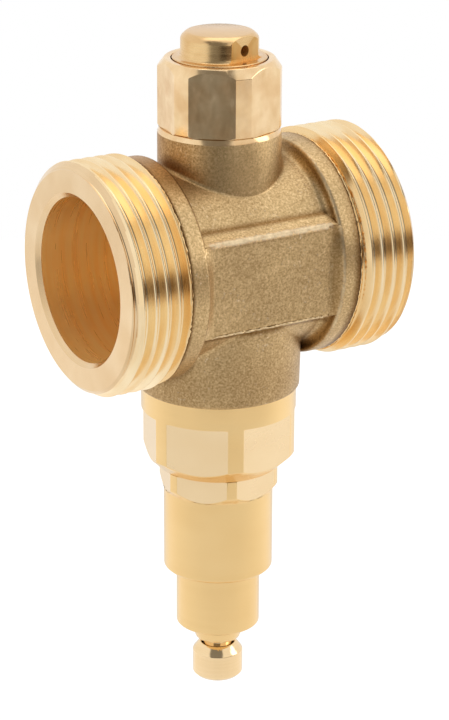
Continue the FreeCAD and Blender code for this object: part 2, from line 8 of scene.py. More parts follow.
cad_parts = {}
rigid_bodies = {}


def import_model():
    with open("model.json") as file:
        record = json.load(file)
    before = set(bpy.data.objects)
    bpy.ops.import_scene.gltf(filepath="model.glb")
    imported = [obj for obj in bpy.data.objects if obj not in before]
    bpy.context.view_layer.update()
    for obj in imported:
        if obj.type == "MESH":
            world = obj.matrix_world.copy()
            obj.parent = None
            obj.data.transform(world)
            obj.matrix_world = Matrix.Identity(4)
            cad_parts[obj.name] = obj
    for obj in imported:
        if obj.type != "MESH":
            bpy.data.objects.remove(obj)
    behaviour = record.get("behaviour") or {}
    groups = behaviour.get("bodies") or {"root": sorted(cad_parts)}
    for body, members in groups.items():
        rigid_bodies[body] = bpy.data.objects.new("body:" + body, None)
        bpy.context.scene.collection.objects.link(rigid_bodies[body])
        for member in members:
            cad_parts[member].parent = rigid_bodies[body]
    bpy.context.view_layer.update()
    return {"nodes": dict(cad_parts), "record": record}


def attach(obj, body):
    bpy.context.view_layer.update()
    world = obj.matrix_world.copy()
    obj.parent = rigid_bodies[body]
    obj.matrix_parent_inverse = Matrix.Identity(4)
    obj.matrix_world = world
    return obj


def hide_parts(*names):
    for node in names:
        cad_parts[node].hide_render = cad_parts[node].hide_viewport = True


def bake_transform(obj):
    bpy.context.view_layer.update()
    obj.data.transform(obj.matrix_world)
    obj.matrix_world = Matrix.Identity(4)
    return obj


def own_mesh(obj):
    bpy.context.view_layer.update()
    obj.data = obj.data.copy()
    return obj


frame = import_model()
mm = 0.001
fineWeld = 0.0005 * mm      # distances within which points are merged
weld = 0.001 * mm
cutGap = 0.0001 * mm        # tolerance of a cut by a plane
slack = 0.02 * mm           # margin when faces are picked by their place
white = (1.0, 1.0, 1.0)
black = (0.0, 0.0, 0.0)
print("frame loaded:", len(frame["nodes"]), "nodes")


# helpers
def clearSelection():
    if bpy.context.object and bpy.context.object.mode != "OBJECT":
        bpy.ops.object.mode_set(mode="OBJECT")
    bpy.ops.object.select_all(action="DESELECT")


def makeActive(piece):
    clearSelection()
    piece.select_set(True)
    bpy.context.view_layer.objects.active = piece


def editAll(piece):
    makeActive(piece)
    bpy.ops.object.mode_set(mode="EDIT")
    bpy.ops.mesh.select_all(action="SELECT")


def copyOfNode(nodeName, pieceName):
    piece = bpy.data.objects.new(pieceName, frame["nodes"][nodeName].data.copy())
    bpy.context.scene.collection.objects.link(piece)
    piece.data.name = pieceName
    piece.data.materials.clear()
    editAll(piece)
    bpy.ops.mesh.remove_doubles(threshold=fineWeld)
    bpy.ops.mesh.customdata_custom_splitnormals_clear()
    bpy.ops.object.mode_set(mode="OBJECT")
    return piece


def turnOutward():
    # in edit mode: all faces point outwards, then back to object mode
    bpy.ops.mesh.select_all(action="SELECT")
    bpy.ops.mesh.normals_make_consistent(inside=False)
    bpy.ops.object.mode_set(mode="OBJECT")


def smoothByAngle(piece, degrees):
    makeActive(piece)
    bpy.ops.object.shade_smooth_by_angle(angle=math.radians(degrees))


def place(piece, body, slotName, *nodeNames):
    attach(piece, body)
    if nodeNames:
        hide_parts(*nodeNames)
    return piece


def drawnLine(name, start, moves):
    # a plane merged to one point, drawn out move by move; ends in edit mode
    clearSelection()
    bpy.ops.mesh.primitive_plane_add(size=1 * mm)
    piece = bpy.context.object
    piece.name = piece.data.name = name
    bpy.ops.object.mode_set(mode="EDIT")
    bpy.ops.mesh.select_mode(type="VERT")
    bpy.ops.mesh.select_all(action="SELECT")
    bpy.ops.mesh.merge(type="CENTER")
    bpy.ops.transform.translate(value=start)
    for move in moves:
        bpy.ops.mesh.extrude_region_move(TRANSFORM_OT_translate={"value": move})
    return piece


def spun(name, profile, steps):
    # the profile is radius and height in millimetres
    start = (profile[0][0] * mm, 0, profile[0][1] * mm)
    moves = [((r1 - r0) * mm, 0, (z1 - z0) * mm) for (r0, z0), (r1, z1) in zip(profile, profile[1:])]
    piece = drawnLine(name, start, moves)
    bpy.ops.mesh.select_all(action="SELECT")
    bpy.ops.mesh.spin(steps=steps, angle=2 * math.pi, center=(0, 0, 0), axis=(0, 0, 1))
    bpy.ops.mesh.select_all(action="SELECT")
    bpy.ops.mesh.remove_doubles(threshold=weld)
    turnOutward()
    return piece


def cutAway(piece, tool):
    cut = piece.modifiers.new("cut", "BOOLEAN")
    cut.operation = "DIFFERENCE"
    cut.solver = "EXACT"
    cut.object = tool
    makeActive(piece)
    bpy.ops.object.modifier_apply(modifier="cut")
    bpy.data.objects.remove(tool)


# materials
def startMaterial(name):
    material = bpy.data.materials.new(name)
    material.use_nodes = True
    tree = material.node_tree
    coords = tree.nodes.new("ShaderNodeTexCoord")
    return material, tree, tree.nodes["Principled BSDF"], coords.outputs["Object"]


def stretched(tree, coords, scale):
    mapping = tree.nodes.new("ShaderNodeMapping")
    mapping.inputs["Scale"].default_value = scale
    tree.links.new(coords, mapping.inputs["Vector"])
    return mapping.outputs["Vector"]


def noise(tree, vector, scale, detail=4.0, rough=0.55):
    node = tree.nodes.new("ShaderNodeTexNoise")
    node.inputs["Scale"].default_value = scale
    node.inputs["Detail"].default_value = detail
    node.inputs["Roughness"].default_value = rough
    tree.links.new(vector, node.inputs["Vector"])
    return node.outputs["Fac"]


def ramp(tree, factor, stops):
    node = tree.nodes.new("ShaderNodeValToRGB")
    elements = node.color_ramp.elements
    while len(elements) < len(stops):
        elements.new(0.5)
    for element, (position, colour) in zip(elements, stops):
        element.position = position
        element.color = (*colour, 1.0)
    tree.links.new(factor, node.inputs["Fac"])
    return node.outputs["Color"]


def spread(tree, factor, low, high, fromLow=0.3, fromHigh=0.7):
    node = tree.nodes.new("ShaderNodeMapRange")
    node.inputs["From Min"].default_value = fromLow
    node.inputs["From Max"].default_value = fromHigh
    node.inputs["To Min"].default_value = low
    node.inputs["To Max"].default_value = high
    tree.links.new(factor, node.inputs["Value"])
    return node.outputs["Result"]


def bump(tree, height, strength, distance, under=None):
    node = tree.nodes.new("ShaderNodeBump")
    node.inputs["Strength"].default_value = strength
    node.inputs["Distance"].default_value = distance
    tree.links.new(height, node.inputs["Height"])
    if under:
        tree.links.new(under, node.inputs["Normal"])
    return node.outputs["Normal"]


def mixed(tree, factor, a, b, blend="MIX"):
    node = tree.nodes.new("ShaderNodeMix")
    node.data_type = "RGBA"
    node.blend_type = blend
    if isinstance(factor, float):
        node.inputs[0].default_value = factor
    else:
        tree.links.new(factor, node.inputs[0])
    tree.links.new(a, node.inputs[6])
    tree.links.new(b, node.inputs[7])
    return node.outputs[2]


def times(tree, a, b):
    node = tree.nodes.new("ShaderNodeMath")
    node.operation = "MULTIPLY"
    tree.links.new(a, node.inputs[0])
    tree.links.new(b, node.inputs[1])
    return node.outputs[0]


def measured(tree, vector, operation, other=None):
    node = tree.nodes.new("ShaderNodeVectorMath")
    node.operation = operation
    tree.links.new(vector, node.inputs[0])
    if other:
        node.inputs[1].default_value = other
    return node.outputs["Vector" if operation in ("ABSOLUTE", "NORMALIZE") else "Value"]


def shaded(tree, skin, where, shade):
    # darkens the skin by the shade where the mask is 1
    return mixed(tree, 1.0, skin, ramp(tree, where, [(0.0, white), (1.0, shade)]), "MULTIPLY")


def lightened(tree, skin, where, colour):
    return mixed(tree, 1.0, skin, ramp(tree, where, [(0.0, black), (1.0, colour)]), "LIGHTEN")


def nearLine(tree, vector, point, reach):
    # 1 on the line through the point, fading to 0 over the reach
    return spread(tree, measured(tree, vector, "DISTANCE", point), 1.0, 0.0, *reach)


castFinish = {
    "dark": (0.37, 0.242, 0.098),
    "mid": (0.65, 0.45, 0.221),
    "light": (0.95, 0.72, 0.415),
    "glint": (0.92, 0.71, 0.43),
    "grain": 2700.0,            # speckle of the blasted skin, per metre
    "grainStops": (0.30, 0.52, 0.74),
    "grainBump": (0.8, 0.035 * mm),             # strength and height
    "lumps": 1100.0,
    "lumpBump": (0.35, 0.06 * mm),
    "paintedGlints": 1700.0,           # painted glints: bright grains in patches stand in for the sparkle of light
    "paintedGlintRange": (0.56, 0.74),
    "patches": 150.0,
    "patchRange": (0.44, 0.62),
    "tone": 90.0,
    "toneStops": (0.3, 0.68),
    "toneShade": (0.82, 0.80, 0.78),
    "roughLow": 0.32,
    "roughHigh": 0.52,
    # the crease colour is oxide and painted shade, laid in by ambient occlusion over this reach
    "creaseReach": 2.6 * mm,
    "creaseStops": (0.45, 0.90),
    "creaseShade": (0.50, 0.44, 0.37),
    # oxide with painted shade: used in the pad grooves, at the left ring's edge and where the rings meet
    # the threads
    "oxideAndShade": (0.50, 0.41, 0.31),
    "groove": (0, 14.75 * mm, 9.85 * mm),       # foot of the shoulder over each pad: y and z
    "grooveReach": (0.2 * mm, 1.05 * mm),
    "hollow": (12.8 * mm, 18.7 * mm, 0),        # end of each pad, under the shoulder ring: x and y
    "hollowReach": (0.5 * mm, 1.4 * mm),
    "hollowShade": (0.76, 0.69, 0.60),
    "collarEdge": (17.4 * mm, 20.0 * mm, 0),    # shoulder ring beside the thread: x and radius
    "collarReach": (0.15 * mm, 0.8 * mm),
    # the ridge and rim colours below are painted highlights, lightened into the colour along those edges
    "ridge": (0, 17.65 * mm, 8.45 * mm),        # upper edge of each pad: y and z
    "ridgeReach": (0.3 * mm, 1.3 * mm),
    "ridgeEnd": (12.4 * mm, 13.2 * mm),
    "ridgeHighlight": (0.86, 0.675, 0.42),
    "rim": (13.75 * mm, 19.9 * mm, 0),          # inner edge of the shoulder rings: x and radius
    "rimReach": (0.15 * mm, 0.8 * mm),
    "rimHighlight": (0.78, 0.59, 0.34),
    # noise that breaks up the painted edge highlights
    "highlightBreakup": 800.0,
    "highlightBreakupLeast": 0.55,
    "low": (-20.0 * mm, -8.0 * mm),             # painted shade: the casting darkens towards the bottom, over the skirt
    "lowShade": (0.87, 0.84, 0.81),
    # painted shadow line at the left ring's edge above the pads
    "leftRingShadowLine": (13.55 * mm, 19.85 * mm, 0),        # edge of the left ring above the pad: x and radius
    "leftRingShadowReach": (0.15 * mm, 0.75 * mm),
    "leftRingShadowFrom": (9.0 * mm, 10.5 * mm),
    "shadowReach": (0.8 * mm, 1.9 * mm),        # the right ring darkens towards the thread, and downwards
    "shadowShade": (0.46, 0.38, 0.30),
    "shadowHeight": (0.0, 13.0 * mm),
    "shadowAbove": 0.3,
    "leftSide": (-10.5 * mm, -5.0 * mm),
    "bossFrom": (14.0 * mm, 18.0 * mm),         # the boss's left side is darkened: painted reflection of the orange thread beside it
    "bossReflectionShade": (0.78, 0.64, 0.50),
}
# a lighter copy of the cast finish for the flash along the pads' lower edges: a painted highlight on that
# edge
flashFinish = dict(castFinish, dark=(0.70, 0.52, 0.28), mid=(0.88, 0.68, 0.40),
                   light=(1.0, 0.86, 0.60))


def castBrass(name, s):
    material, tree, shader, coords = startMaterial(name)
    grain = noise(tree, coords, s["grain"], 5.0, 0.72)
    lumps = noise(tree, coords, s["lumps"], 3.0)
    tone = noise(tree, coords, s["tone"], 2.0)
    skin = ramp(tree, grain, list(zip(s["grainStops"], (s["dark"], s["mid"], s["light"]))))
    shade = ramp(tree, tone, list(zip(s["toneStops"], (s["toneShade"], white))))
    skin = mixed(tree, 1.0, skin, shade, "MULTIPLY")
    # painted glints: noise spots in patches are lightened into the colour as sparkle highlights
    paintedGlints = spread(tree, noise(tree, coords, s["paintedGlints"], 2.0), 0.0, 1.0, *s["paintedGlintRange"])
    patches = spread(tree, noise(tree, coords, s["patches"], 2.0), 0.0, 1.0, *s["patchRange"])
    skin = lightened(tree, skin, times(tree, paintedGlints, patches), s["glint"])
    # no sign: the quarters of the casting are alike
    spot = measured(tree, coords, "ABSOLUTE")
    ends = stretched(tree, spot, (0.0, 1.0, 1.0))
    acrossX = measured(tree, spot, "DOT_PRODUCT", (1.0, 0.0, 0.0))
    section = tree.nodes.new("ShaderNodeCombineXYZ")
    tree.links.new(acrossX, section.inputs["X"])
    tree.links.new(measured(tree, ends, "LENGTH"), section.inputs["Y"])
    section = section.outputs["Vector"]
    # with sign: upper and lower, left and right
    height = measured(tree, coords, "DOT_PRODUCT", (0.0, 0.0, 1.0))
    along = measured(tree, coords, "DOT_PRODUCT", (1.0, 0.0, 0.0))
    onUpper = spread(tree, height, 0.0, 1.0, 0.0, mm)
    onRight = spread(tree, along, 0.0, 1.0, 0.0, mm)
    onLeft = spread(tree, along, 1.0, 0.0, *s["leftSide"])
    # painted highlights along the pads' upper edges and the right rings' inner edges, broken up by noise
    highlightBreakup = spread(tree, noise(tree, coords, s["highlightBreakup"], 6.0, 0.65), s["highlightBreakupLeast"], 1.0)
    ridge = nearLine(tree, ends, s["ridge"], s["ridgeReach"])
    ridge = times(tree, ridge, spread(tree, acrossX, 1.0, 0.0, *s["ridgeEnd"]))
    ridge = times(tree, ridge, onUpper)
    rim = times(tree, nearLine(tree, section, s["rim"], s["rimReach"]), onRight)
    for edge, colour in ((ridge, s["ridgeHighlight"]), (rim, s["rimHighlight"])):
        skin = lightened(tree, skin, times(tree, edge, highlightBreakup), colour)
    # oxide in the corners, and painted shade: ambient occlusion darkens the colour in creases and beside
    # walls
    crease = tree.nodes.new("ShaderNodeAmbientOcclusion")
    crease.samples = 8
    crease.only_local = True
    crease.inputs["Distance"].default_value = s["creaseReach"]
    occlusionShade = ramp(tree, crease.outputs["AO"], list(zip(s["creaseStops"], (s["creaseShade"], white))))
    skin = mixed(tree, 1.0, skin, occlusionShade, "MULTIPLY")
    # oxide and painted shade: darker grooves over the pads, painted shade in the right hollows, a painted
    # shadow line at the left ring's edge and along the right ring, painted shadow where the rings meet
    # the threads, a painted reflection on the boss's left side, and painted shade towards the bottom
    # painted shade in the hollow at each pad's right end; the left ends, which catch the light, stay
    # light
    hollow = nearLine(tree, stretched(tree, spot, (1.0, 1.0, 0.0)), s["hollow"], s["hollowReach"])
    shadow = times(tree, nearLine(tree, section, s["collarEdge"], s["shadowReach"]), onRight)
    shadow = times(tree, shadow, spread(tree, height, 1.0, s["shadowAbove"], *s["shadowHeight"]))
    # painted shadow: a dark line along the left ring's edge, over the waist above the pads
    leftRingShadowLine = times(tree, nearLine(tree, section, s["leftRingShadowLine"], s["leftRingShadowReach"]), onLeft)
    leftRingShadowLine = times(tree, leftRingShadowLine, spread(tree, height, 0.0, 1.0, *s["leftRingShadowFrom"]))
    # oxide and painted shade in the groove over each pad
    shadeAndOxideMarks = [(nearLine(tree, ends, s["groove"], s["grooveReach"]), s["oxideAndShade"]),
              (times(tree, hollow, onRight), s["hollowShade"]),
              (leftRingShadowLine, s["oxideAndShade"]),
              (shadow, s["shadowShade"]),
              # painted shadow in the undercut where each shoulder ring meets its thread
              (nearLine(tree, section, s["collarEdge"], s["collarReach"]), s["oxideAndShade"]),
              # painted reflection: the boss's left side darkened and warmed
              (times(tree, spread(tree, height, 0.0, 1.0, *s["bossFrom"]), onLeft), s["bossReflectionShade"]),
              # painted shade, darker towards the bottom
              (spread(tree, height, 1.0, 0.0, *s["low"]), s["lowShade"])]
    for where, darkening in shadeAndOxideMarks:
        skin = shaded(tree, skin, where, darkening)
    tree.links.new(skin, shader.inputs["Base Color"])
    tree.links.new(spread(tree, grain, s["roughHigh"], s["roughLow"]), shader.inputs["Roughness"])
    under = bump(tree, lumps, *s["lumpBump"])
    tree.links.new(bump(tree, grain, *s["grainBump"], under), shader.inputs["Normal"])
    shader.inputs["Metallic"].default_value = 1.0
    return material


# where each layer of a turned surface turns from its darker to its lighter colour
turnedStops = {
    "lines": (0.25, 0.7),
    "tone": (0.3, 0.65),
    "streaks": (0.36, 0.62),
    "lineHeight": 0.01 * mm,
}


def turnedBrass(name, s):
    # fine tool lines run round the axis: the noise is squeezed along it
    material, tree, shader, coords = startMaterial(name)
    lines = noise(tree, stretched(tree, coords, s["lines"]), 1.0, 3.0, 0.6)
    tone = noise(tree, coords, s["tone"], 2.0)
    streaks = noise(tree, stretched(tree, coords, s["streaks"]), 1.0, 2.0)
    skin = ramp(tree, lines, list(zip(turnedStops["lines"], (s["dark"], s["light"]))))
    shade = ramp(tree, tone, list(zip(turnedStops["tone"], (s["darkening"], white))))
    skin = mixed(tree, 1.0, skin, shade, "MULTIPLY")
    shade = ramp(tree, streaks, list(zip(turnedStops["streaks"], (s["streakShade"], white))))
    skin = mixed(tree, 1.0, skin, shade, "MULTIPLY")
    # painted shade on the first turn beside the casting
    if s.get("inboard"):
        across = measured(tree, measured(tree, coords, "ABSOLUTE"), "DOT_PRODUCT", (1.0, 0.0, 0.0))
        skin = shaded(tree, skin, spread(tree, across, 1.0, 0.0, *s["inboard"]), s["inboardShade"])
    # painted shade: darker towards the top, between the given heights
    if s.get("above"):
        height = measured(tree, coords, "DOT_PRODUCT", (0.0, 0.0, 1.0))
        skin = shaded(tree, skin, spread(tree, height, 0.0, 1.0, *s["above"]), s["aboveShade"])
    tree.links.new(skin, shader.inputs["Base Color"])
    tree.links.new(spread(tree, lines, s["roughLow"], s["roughHigh"]), shader.inputs["Roughness"])
    tree.links.new(bump(tree, lines, s["bump"], turnedStops["lineHeight"]), shader.inputs["Normal"])
    shader.inputs["Metallic"].default_value = s.get("metallic", 1.0)
    return material


threadFinish = {
    "lines": (2600.0, 30.0, 30.0),
    "tone": 120.0,
    "streaks": (900.0, 70.0, 70.0),
    "streakShade": (0.95, 0.87, 0.76),
    "dark": (0.95, 0.75, 0.46),
    "light": (0.97, 0.81, 0.545),
    "inboard": (18.6 * mm, 19.6 * mm),          # the first turn beside the casting is painted darker, like the shade the deeper turns throw on each other
    "inboardShade": (0.93, 0.83, 0.67),
    "darkening": (0.95, 0.92, 0.87),
    "roughLow": 0.16,
    "roughHigh": 0.27,
    "bump": 0.25,
}
hexFinish = {
    "lines": (500.0, 500.0, 200.0),
    "tone": 160.0,
    "streaks": (260.0, 260.0, 240.0),
    "streakShade": (0.90, 0.83, 0.76),
    "dark": (0.87, 0.635, 0.355),
    "light": (0.97, 0.73, 0.44),
    "darkening": (0.89, 0.84, 0.78),
    "roughLow": 0.12,
    "roughHigh": 0.24,
    "bump": 0.12,
}
lowerFinish = {
    "lines": (30.0, 30.0, 900.0),
    "tone": 60.0,
    "streaks": (60.0, 60.0, 150.0),
    "streakShade": (0.985, 0.97, 0.95),
    "dark": (0.86, 0.60, 0.28),
    "light": (0.885, 0.625, 0.297),
    "darkening": (0.96, 0.94, 0.90),
    "roughLow": 0.19,
    "roughHigh": 0.25,
    "bump": 0.01,
}
plugFinish = dict(hexFinish, lines=(60.0, 60.0, 2600.0), dark=(0.77, 0.525, 0.25),
                  light=(0.89, 0.63, 0.315), roughLow=0.20, roughHigh=0.32)
faceFinish = dict(threadFinish, dark=(0.79, 0.58, 0.345), light=(0.87, 0.655, 0.40),
                  streaks=(130.0, 130.0, 130.0), streakShade=(0.96, 0.93, 0.89))
boreFinish = dict(threadFinish, lines=(900.0, 45.0, 45.0), dark=(1.0, 0.69, 0.26),
                  light=(1.0, 0.77, 0.33), tone=60.0, darkening=(1.0, 0.95, 0.87),
                  streaks=(800.0, 45.0, 45.0), streakShade=(0.99, 0.91, 0.80), bump=0.06,
                  roughLow=0.24, roughHigh=0.36, metallic=0.44, inboard=None,
                  # painted shade: the bore darkens towards its top
                  above=(4.0 * mm, 12.0 * mm), aboveShade=(0.70, 0.55, 0.40))
knobFinish = dict(lowerFinish, dark=(0.90, 0.67, 0.38), light=(0.95, 0.73, 0.45),
                  roughLow=0.09, roughHigh=0.15)
millFinish = dict(lowerFinish, lines=(60.0, 60.0, 140.0), dark=(0.92, 0.705, 0.425),
                  light=(0.94, 0.725, 0.445), roughLow=0.24, roughHigh=0.29, bump=0.004)
innerFinish = dict(lowerFinish, dark=(0.62, 0.44, 0.22), light=(0.78, 0.57, 0.30), roughHigh=0.36)
steelFinish = {
    "lines": (900.0, 900.0, 900.0),
    "tone": 200.0,
    "streaks": (300.0, 300.0, 300.0),
    "streakShade": (0.92, 0.92, 0.92),
    "dark": (0.42, 0.42, 0.43),
    "light": (0.66, 0.66, 0.67),
    "darkening": (0.88, 0.87, 0.86),
    "roughLow": 0.20,
    "roughHigh": 0.36,
    "bump": 0.1,
}


softStops = {
    "grain": (0.3, 0.7),
    "bump": (0.2, 0.03 * mm),
}


def softMaterial(name, s):
    material, tree, shader, coords = startMaterial(name)
    grain = noise(tree, coords, s["grain"], 4.0)
    skin = ramp(tree, grain, list(zip(softStops["grain"], (s["dark"], s["light"]))))
    tree.links.new(skin, shader.inputs["Base Color"])
    tree.links.new(spread(tree, grain, s["roughLow"], s["roughHigh"]), shader.inputs["Roughness"])
    tree.links.new(bump(tree, grain, *softStops["bump"]), shader.inputs["Normal"])
    return material


rubberFinish = {"grain": 1800.0, "dark": (0.012, 0.012, 0.013), "light": (0.035, 0.035, 0.037),
                "roughLow": 0.45, "roughHigh": 0.62}
waxFinish = {"grain": 500.0, "dark": (0.55, 0.36, 0.10), "light": (0.72, 0.52, 0.20),
             "roughLow": 0.35, "roughHigh": 0.5}

cast = castBrass("castBrass", castFinish)
flashMetal = castBrass("castFlash", flashFinish)
threadMetal = turnedBrass("threadBrass", threadFinish)
boreMetal = turnedBrass("boreBrass", boreFinish)
faceMetal = turnedBrass("faceBrass", faceFinish)
knobMetal = turnedBrass("knobBrass", knobFinish)
hexMetal = turnedBrass("hexBrass", hexFinish)
plugMetal = turnedBrass("plugBrass", plugFinish)
lowerMetal = turnedBrass("outletBrass", lowerFinish)
millMetal = turnedBrass("milledBrass", millFinish)
innerMetal = turnedBrass("innerBrass", innerFinish)
steel = turnedBrass("springSteel", steelFinish)
rubber = softMaterial("sealRubber", rubberFinish)
wax = softMaterial("expansionWax", waxFinish)
print("materials ready")

# valve body: the casting, cut off behind the threads
bodySizes = {
    "castEnd": 16.9 * mm,       # plane through the shoulder ring, before its rounded edge
    "cut": 17.43 * mm,          # plane where the thread starts
    "faceFrom": 27.95 * mm,
    "boreR": 14.7 * mm,
    "bossTop": 24.0 * mm,
    "bossRim": 0.8 * mm,
    "smooth": 32,               # degrees up to which an edge is shaded soft
}


def bodyFinish(piece):
    s = bodySizes
    for material in (cast, threadMetal, boreMetal, hexMetal, faceMetal):
        piece.data.materials.append(material)
    for face in piece.data.polygons:
        c = face.center
        inBore = math.hypot(c.y, c.z) < s["boreR"] + slack
        onRim = c.z > s["bossTop"] - s["bossRim"] - slack
        onThread = abs(c.x) > s["cut"]
        onFace = abs(c.x) > s["faceFrom"]
        face.material_index = 3 if onRim else 2 if inBore else 4 if onFace else 1 if onThread else 0


def castingBody():
    s = bodySizes
    piece = copyOfNode("valve_body", "valveBody")
    for side in (-1, 1):
        editAll(piece)
        bpy.ops.mesh.bisect(plane_co=(side * s["castEnd"], 0, 0), plane_no=(side, 0, 0),
                            use_fill=True, clear_outer=True, threshold=cutGap)
        bpy.ops.object.mode_set(mode="OBJECT")
    bodyFinish(piece)
    smoothByAngle(piece, s["smooth"])
    return piece


# rounded outer edge of the shoulder rings, turned about Z and laid on X
edgeSizes = {
    "profile": [(18.0, 16.8), (19.995, 16.8), (19.995, 17.0), (19.93, 17.2), (19.78, 17.35),
                (19.5, 17.42), (18.0, 17.42), (18.0, 16.8)],
    "steps": 160,
    "smooth": 40,
}


def shoulderEdge(turn):
    piece = spun("shoulderEdge", edgeSizes["profile"], edgeSizes["steps"])
    piece.data.transform(Matrix.Rotation(turn, 4, "Y"))
    piece.data.materials.append(cast)
    smoothByAngle(piece, edgeSizes["smooth"])
    return piece


# soft corners where the pads run up to the shoulder rings
padEndSizes = {
    "ringX": 13.95 * mm,
    "reach": 2.1 * mm,
    "padY": 18.0 * mm,
    "ringR": 19.95 * mm,
    "halfHeight": 8.28 * mm,
    "depth": 1.5 * mm,
    "sunk": 0.01 * mm,          # the face lies this far under the pad
    "curve": 1.25,
    "across": 14,
    "up": 36,
    "smooth": 40,
}


def padEnd(name):
    s = padEndSizes
    clearSelection()
    bpy.ops.mesh.primitive_grid_add(x_subdivisions=s["across"], y_subdivisions=s["up"], size=2)
    piece = bpy.context.object
    piece.name = piece.data.name = name
    for v in piece.data.vertices:
        along, z = (v.co.x + 1) / 2, v.co.y * s["halfHeight"]
        rise = math.sqrt(s["ringR"] ** 2 - z ** 2) - s["padY"]
        y = -s["padY"] - rise * along ** s["curve"] + s["sunk"]
        v.co = (s["ringX"] - s["reach"] * (1 - along), y, z)
    editAll(piece)
    bpy.ops.mesh.extrude_region_move(TRANSFORM_OT_translate={"value": (0, s["depth"], 0)})
    turnOutward()
    piece.data.materials.append(cast)
    smoothByAngle(piece, s["smooth"])
    return piece


def padEnds():
    pieces = []
    for x in (1, -1):
        for y in (1, -1):
            piece = padEnd("padEnd")
            piece.data.transform(Matrix.Diagonal((x, y, 1, 1)))
            editAll(piece)
            turnOutward()
            pieces.append(piece)
    return pieces


# ragged lines: flash along the lower edge of the pads, burr where the threads run out
flashSizes = {
    "y": 17.83 * mm,
    "z": -8.19 * mm,
    "from": -12.6 * mm,
    "to": 10.6 * mm,
    "thick": 0.21 * mm,
    "stray": 0.08 * mm,
    "steps": 60,
    "seed": 7,
}
burrSizes = {
    "x": 17.44 * mm,
    "radius": 19.80 * mm,
    "thick": 0.17 * mm,
    "stray": 0.10 * mm,
    "steps": 260,
    "seed": 11,
}


raggedSizes = {
    "thinnest": 0.5,            # share of the line's thickness
    "thickest": 1.25,
    "sides": 2,                 # resolution of the round section
    "smooth": 60,
}


def raggedLine(name, points, s, closed, material):
    random.seed(s["seed"])
    curve = bpy.data.curves.new(name, "CURVE")
    curve.dimensions = "3D"
    curve.bevel_depth = s["thick"]
    curve.bevel_resolution = raggedSizes["sides"]
    curve.use_fill_caps = True
    line = curve.splines.new("POLY")
    line.points.add(len(points) - 1)
    line.use_cyclic_u = closed
    for point, spot in zip(line.points, points):
        stray = Vector(random.uniform(-s["stray"], s["stray"]) for axis in "xyz")
        point.co = (*(Vector(spot) + stray), 1)
        point.radius = random.uniform(raggedSizes["thinnest"], raggedSizes["thickest"])
    piece = bpy.data.objects.new(name, curve)
    bpy.context.scene.collection.objects.link(piece)
    makeActive(piece)
    bpy.ops.object.convert(target="MESH")
    piece = bpy.context.object
    editAll(piece)
    bpy.ops.mesh.remove_doubles(threshold=weld)
    turnOutward()
    piece.data.materials.append(material)
    smoothByAngle(piece, raggedSizes["smooth"])
    return piece


def flashLine(side):
    s = flashSizes
    length = s["to"] - s["from"]
    places = [s["from"] + length * i / s["steps"] for i in range(s["steps"] + 1)]
    points = [(side * x, -side * s["y"], s["z"]) for x in places]
    return raggedLine("flash", points, s, False, flashMetal)


def threadBurr(side):
    s = burrSizes
    turns = [2 * math.pi * i / s["steps"] for i in range(s["steps"])]
    points = [(side * s["x"], s["radius"] * math.cos(a), s["radius"] * math.sin(a)) for a in turns]
    return raggedLine("burr", points, s, True, threadMetal)


# threaded ports
portSizes = {
    "pitch": 2.309 * mm,
    "crestR": 20.955 * mm,
    "rootR": 19.476 * mm,
    "runOut": 0.73 * mm,        # length over which the first crest rises from the shoulder ring
    "end": 29.0 * mm,
    "leadIn": 1.2 * mm,
    "leadR": 19.505 * mm,
    "boreR": 14.7 * mm,
    "sleeveR": 18.5 * mm,
    "chamfer": 0.8 * mm,
    "steps": 200,
    "turns": 8,
    "turnsBefore": 2,           # turns that lie before the cut, and go
    "endWeld": 0.2 * mm,        # evens the points of the end's rim
    "loopGap": 0.002 * mm,
    "smooth": 35,
}
# one pitch of the tooth: share along the pitch, share of the height above the root
risingSide = [(0.0, 0.0), (0.05, 0.012), (0.10, 0.06), (0.13, 0.12), (0.18, 0.253), (0.23, 0.387),
              (0.28, 0.52), (0.33, 0.653), (0.38, 0.787), (0.43, 0.92), (0.455, 0.965),
              (0.48, 0.992), (0.50, 1.0)]
toothShape = risingSide + [(1.0 - along, up) for along, up in reversed(risingSide[:-1])]


def setRadius(vertex, x, radius):
    length = math.hypot(vertex.co.y, vertex.co.z)
    vertex.co = (x, vertex.co.y * radius / length, vertex.co.z * radius / length)


def growRing(piece, x, radius):
    # extrudes the selected loop and sets the new one to a circle
    bpy.ops.mesh.extrude_region_move(MESH_OT_extrude_region={"use_normal_flip": False})
    bpy.ops.object.mode_set(mode="OBJECT")
    for v in piece.data.vertices:
        if v.select:
            setRadius(v, x, radius)
    bpy.ops.object.mode_set(mode="EDIT")


def selectLoopAt(piece, x):
    bpy.ops.mesh.select_all(action="DESELECT")
    bpy.ops.object.mode_set(mode="OBJECT")
    for v in piece.data.vertices:
        v.select = abs(v.co.x - x) < portSizes["loopGap"]
    for e in piece.data.edges:
        e.select = all(piece.data.vertices[i].select for i in e.vertices)
    bpy.ops.object.mode_set(mode="EDIT")


